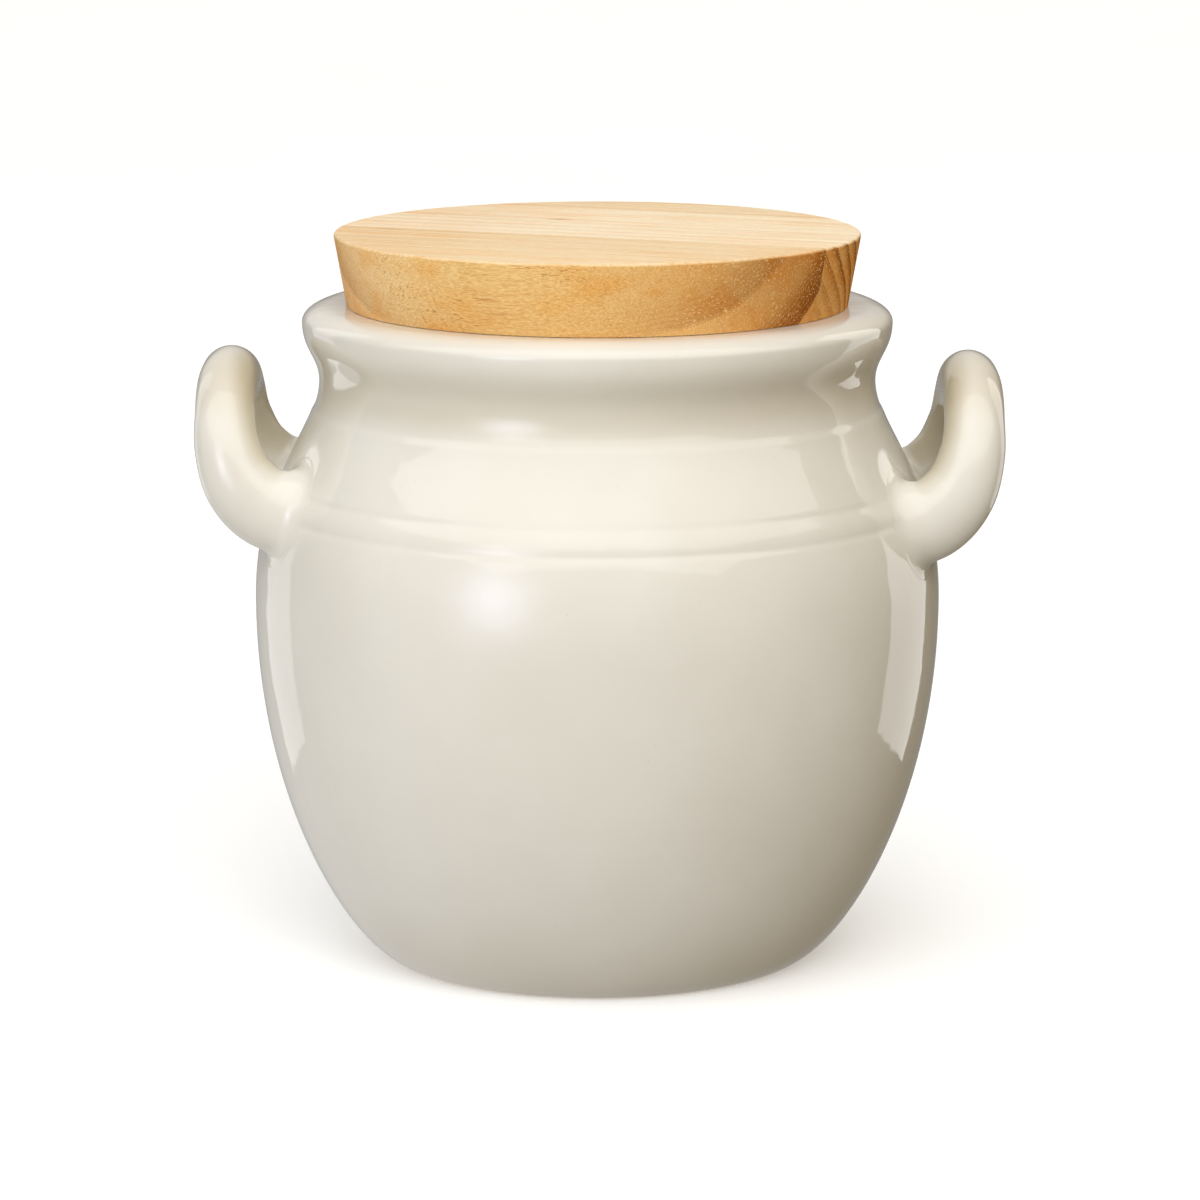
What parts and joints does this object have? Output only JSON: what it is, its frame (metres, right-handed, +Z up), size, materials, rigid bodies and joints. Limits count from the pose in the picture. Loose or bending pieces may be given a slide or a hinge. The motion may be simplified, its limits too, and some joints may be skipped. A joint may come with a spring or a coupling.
{
  "type": "lidded storage jar",
  "caption": "Round-bellied glazed stoneware storage jar with upturned loop handles, a raised shoulder band and a flat plug lid glued from wooden staves.",
  "frame": {"origin": "centre of the jar's foot, on the surface it stands on", "axes": "+Z up along the jar's axis, +X towards the right-hand handle, -Y towards the viewer of the picture"},
  "size_m": [0.1584, 0.136, 0.1451],
  "materials": {
    "glazed_body": "glossy warm cream glaze",
    "lid_wood": "oiled pale honey hardwood",
    "seal_silicone": "translucent soft silicone"
  },
  "bodies": {
    "jar": {"jar_body": "glazed_body", "left_handle": "glazed_body", "right_handle": "glazed_body"},
    "seal": {"seal_ring": "seal_silicone"},
    "lid": {"lid_front_stave": "lid_wood", "lid_middle_stave": "lid_wood", "lid_back_stave": "lid_wood"}
  },
  "joints": [
    {"name": "lid_lift", "type": "slide", "parent": "jar", "child": "seal", "axis": [0, 0, 1], "range_m": [0, 0.06]},
    {"name": "lid_turn", "type": "hinge", "parent": "seal", "child": "lid", "pos_m": [0, 0, 0.1311], "axis": [0, 0, 1], "continuous": true}
  ]
}
